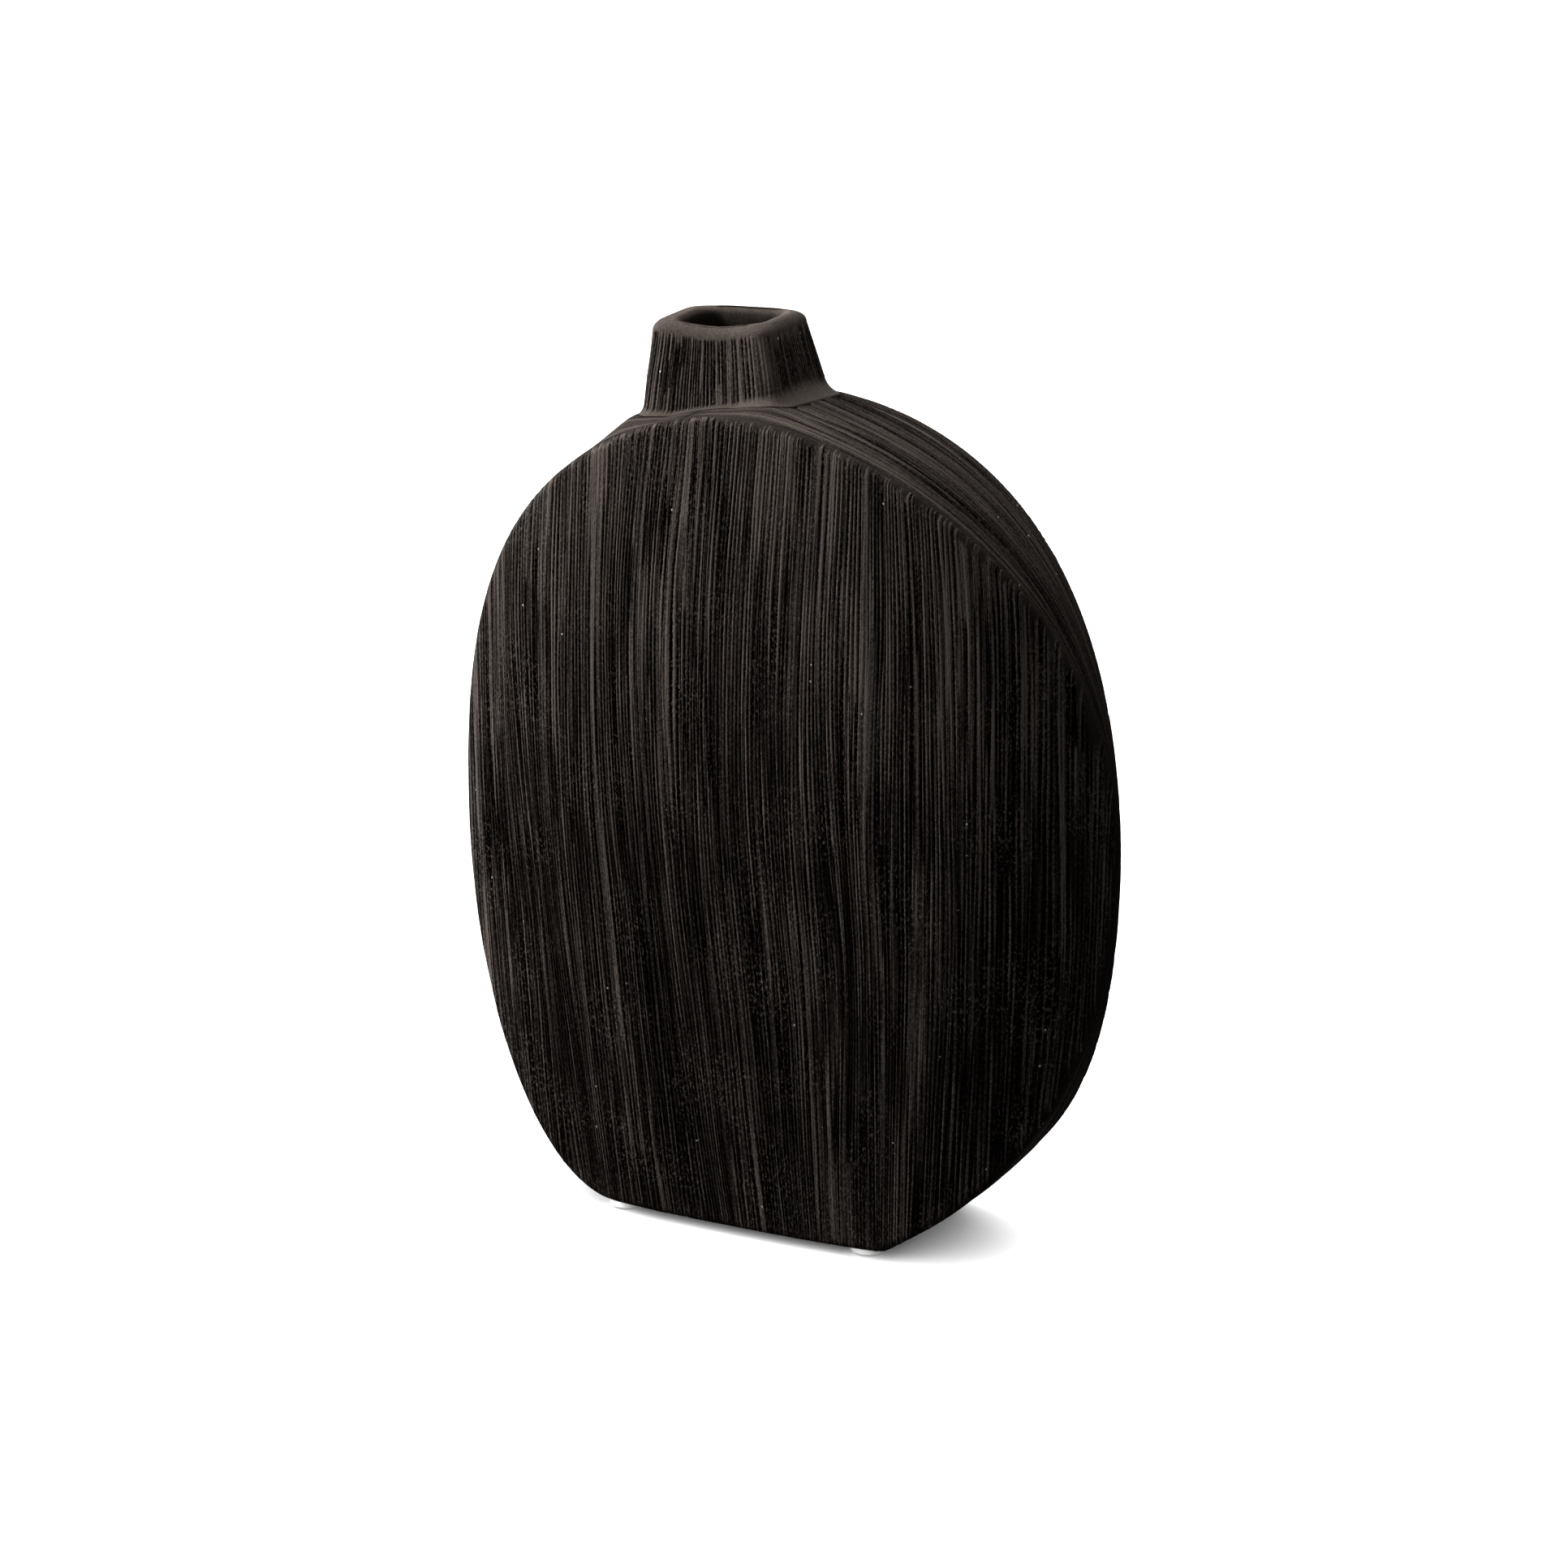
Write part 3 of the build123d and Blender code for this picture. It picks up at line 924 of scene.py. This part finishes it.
def pad_material():
    mat = bpy.data.materials.new("pad_rubber")
    mat.use_nodes = True
    nodes, links = mat.node_tree.nodes, mat.node_tree.links
    bsdf = nodes["Principled BSDF"]
    bsdf.inputs["Roughness"].default_value = 0.35
    noise = nodes.new("ShaderNodeTexNoise")
    noise.inputs["Scale"].default_value = 900
    coord = nodes.new("ShaderNodeTexCoord")
    links.new(coord.outputs["Object"], noise.inputs["Vector"])
    ramp = nodes.new("ShaderNodeValToRGB")
    ramp.color_ramp.elements[0].color = (0.82, 0.82, 0.81, 1)
    ramp.color_ramp.elements[1].color = (0.92, 0.92, 0.91, 1)
    links.new(noise.outputs["Fac"], ramp.inputs["Fac"])
    links.new(ramp.outputs["Color"], bsdf.inputs["Base Color"])
    return mat


clay = stoneware()
rubber = pad_material()
clay_pieces = {
    front: "front_slab",
    back: "back_slab",
    left: "left_band",
    right: "right_band",
    base: "base_slab",
    neck: "neck",
}
for piece, node in clay_pieces.items():
    piece.data.materials.append(clay)
    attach(piece, "root")
    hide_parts(node)
for number, piece in enumerate(pads, 1):
    piece.data.materials.append(rubber)
    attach(piece, "root")
    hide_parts(f"pad_{number}")


# ---------------------------------------------------------------- floor, light, camera
def floor():
    """A wide pale floor, which bounces no light and is not mirrored in the clay."""
    size = 30.0
    mesh = bpy.data.meshes.new("floor")
    corners = [(-size, -size, 0), (size, -size, 0), (size, size, 0), (-size, size, 0)]
    mesh.from_pydata(corners, [], [[0, 1, 2, 3]])
    ob = bpy.data.objects.new("floor", mesh)
    bpy.context.scene.collection.objects.link(ob)
    mat = bpy.data.materials.new("floor_white")
    mat.use_nodes = True
    bsdf = mat.node_tree.nodes["Principled BSDF"]
    bsdf.inputs["Base Color"].default_value = (0.9, 0.9, 0.9, 1)
    bsdf.inputs["Roughness"].default_value = 0.9
    bsdf.inputs["Specular IOR Level"].default_value = 0.0
    mesh.materials.append(mat)
    ob.visible_diffuse = ob.visible_glossy = False
    return ob


ground = floor()


def area(name, location, target, size, power):
    """A square area light pointed at a target."""
    light = bpy.data.lights.new(name, "AREA")
    light.shape = "RECTANGLE"
    light.size = light.size_y = size
    light.energy = power
    ob = bpy.data.objects.new(name, light)
    ob.location = location
    aim = Vector(target) - Vector(location)
    ob.rotation_euler = aim.to_track_quat("-Z", "Y").to_euler()
    bpy.context.scene.collection.objects.link(ob)
    return ob


key = area("key", (-0.66, -0.30, 0.56), (-0.02, 0.0, 0.17), 0.26, 9)
area("top", (-0.15, 0.15, 1.0), (0, 0, 0.15), 0.6, 4.5)
area("side", (-0.95, 0.02, 0.32), (0, 0, 0.1), 0.5, 5.8)
area("behind", (-0.5, 1.0, 0.4), (0, 0, 0.1), 0.8, 4.0)

# a wide wash that only the floor and the small feet take up, so the sweep stays white
wash = bpy.data.lights.new("floor_wash", "SUN")
wash.energy = 7.0
wash.angle = math.radians(150)
wash_ob = bpy.data.objects.new("floor_wash", wash)
wash_ob.rotation_euler = Vector((0.28, 0.2, -1.0)).to_track_quat("-Z", "Y").to_euler()
bpy.context.scene.collection.objects.link(wash_ob)


def light_only(lamp, name, pieces):
    """Limits a lamp to some pieces."""
    group = bpy.data.collections.new(name)
    for piece in pieces:
        group.objects.link(piece)
    lamp.light_linking.receiver_collection = group


light_only(wash_ob, "washed", [ground, *pads])
light_only(key, "keyed", [*clay_pieces, *pads])  # the key leaves no hard shadow on the floor


def world():
    """A white studio, brighter overhead, with a little light sent back up by the floor. What the camera sees
    of it directly is plain white."""
    w = bpy.data.worlds.new("studio")
    bpy.context.scene.world = w
    w.use_nodes = True
    nodes, links = w.node_tree.nodes, w.node_tree.links
    sky = nodes["Background"]
    sky.inputs["Color"].default_value = (1, 1, 1, 1)
    coord = nodes.new("ShaderNodeTexCoord")
    split = nodes.new("ShaderNodeSeparateXYZ")
    both = nodes.new("ShaderNodeMath")
    links.new(coord.outputs["Generated"], split.inputs["Vector"])
    above, below = (-0.05, 0.9, 0.05, 0.35), (-0.1, -0.9, 0.0, 0.2)
    for k, limits in enumerate((above, below)):
        ramp = nodes.new("ShaderNodeMapRange")
        for socket, value in zip(LIMITS, limits):
            ramp.inputs[socket].default_value = value
        links.new(split.outputs["Z"], ramp.inputs["Value"])
        links.new(ramp.outputs["Result"], both.inputs[k])
    links.new(both.outputs["Value"], sky.inputs["Strength"])
    white = nodes.new("ShaderNodeBackground")
    white.inputs["Color"].default_value = (1, 1, 1, 1)
    path = nodes.new("ShaderNodeLightPath")
    join = nodes.new("ShaderNodeMixShader")
    links.new(path.outputs["Is Camera Ray"], join.inputs["Fac"])
    links.new(sky.outputs["Background"], join.inputs[1])
    links.new(white.outputs["Background"], join.inputs[2])
    links.new(join.outputs["Shader"], nodes["World Output"].inputs["Surface"])


world()
bpy.context.scene.view_settings.view_transform = "Standard"

# the camera looks from the front right, a little above the vase
camera_data = bpy.data.cameras.new("camera")
camera_data.sensor_width = 36
camera_data.lens = 74.55
camera_data.clip_start = 0.01
camera_data.clip_end = 100
camera = bpy.data.objects.new("camera", camera_data)
bpy.context.scene.collection.objects.link(camera)
eye = (0.31958, -0.60313, 0.29187 + BASE_Z * MM)
right_axis = (0.88714, 0.46103, -0.02075)
up_axis = (-0.10887, 0.25277, 0.96138)
back_axis = (0.44847, -0.85062, 0.27444)
camera.matrix_world = Matrix([*zip(right_axis, up_axis, back_axis, eye), (0, 0, 0, 1)])
bpy.context.scene.camera = camera
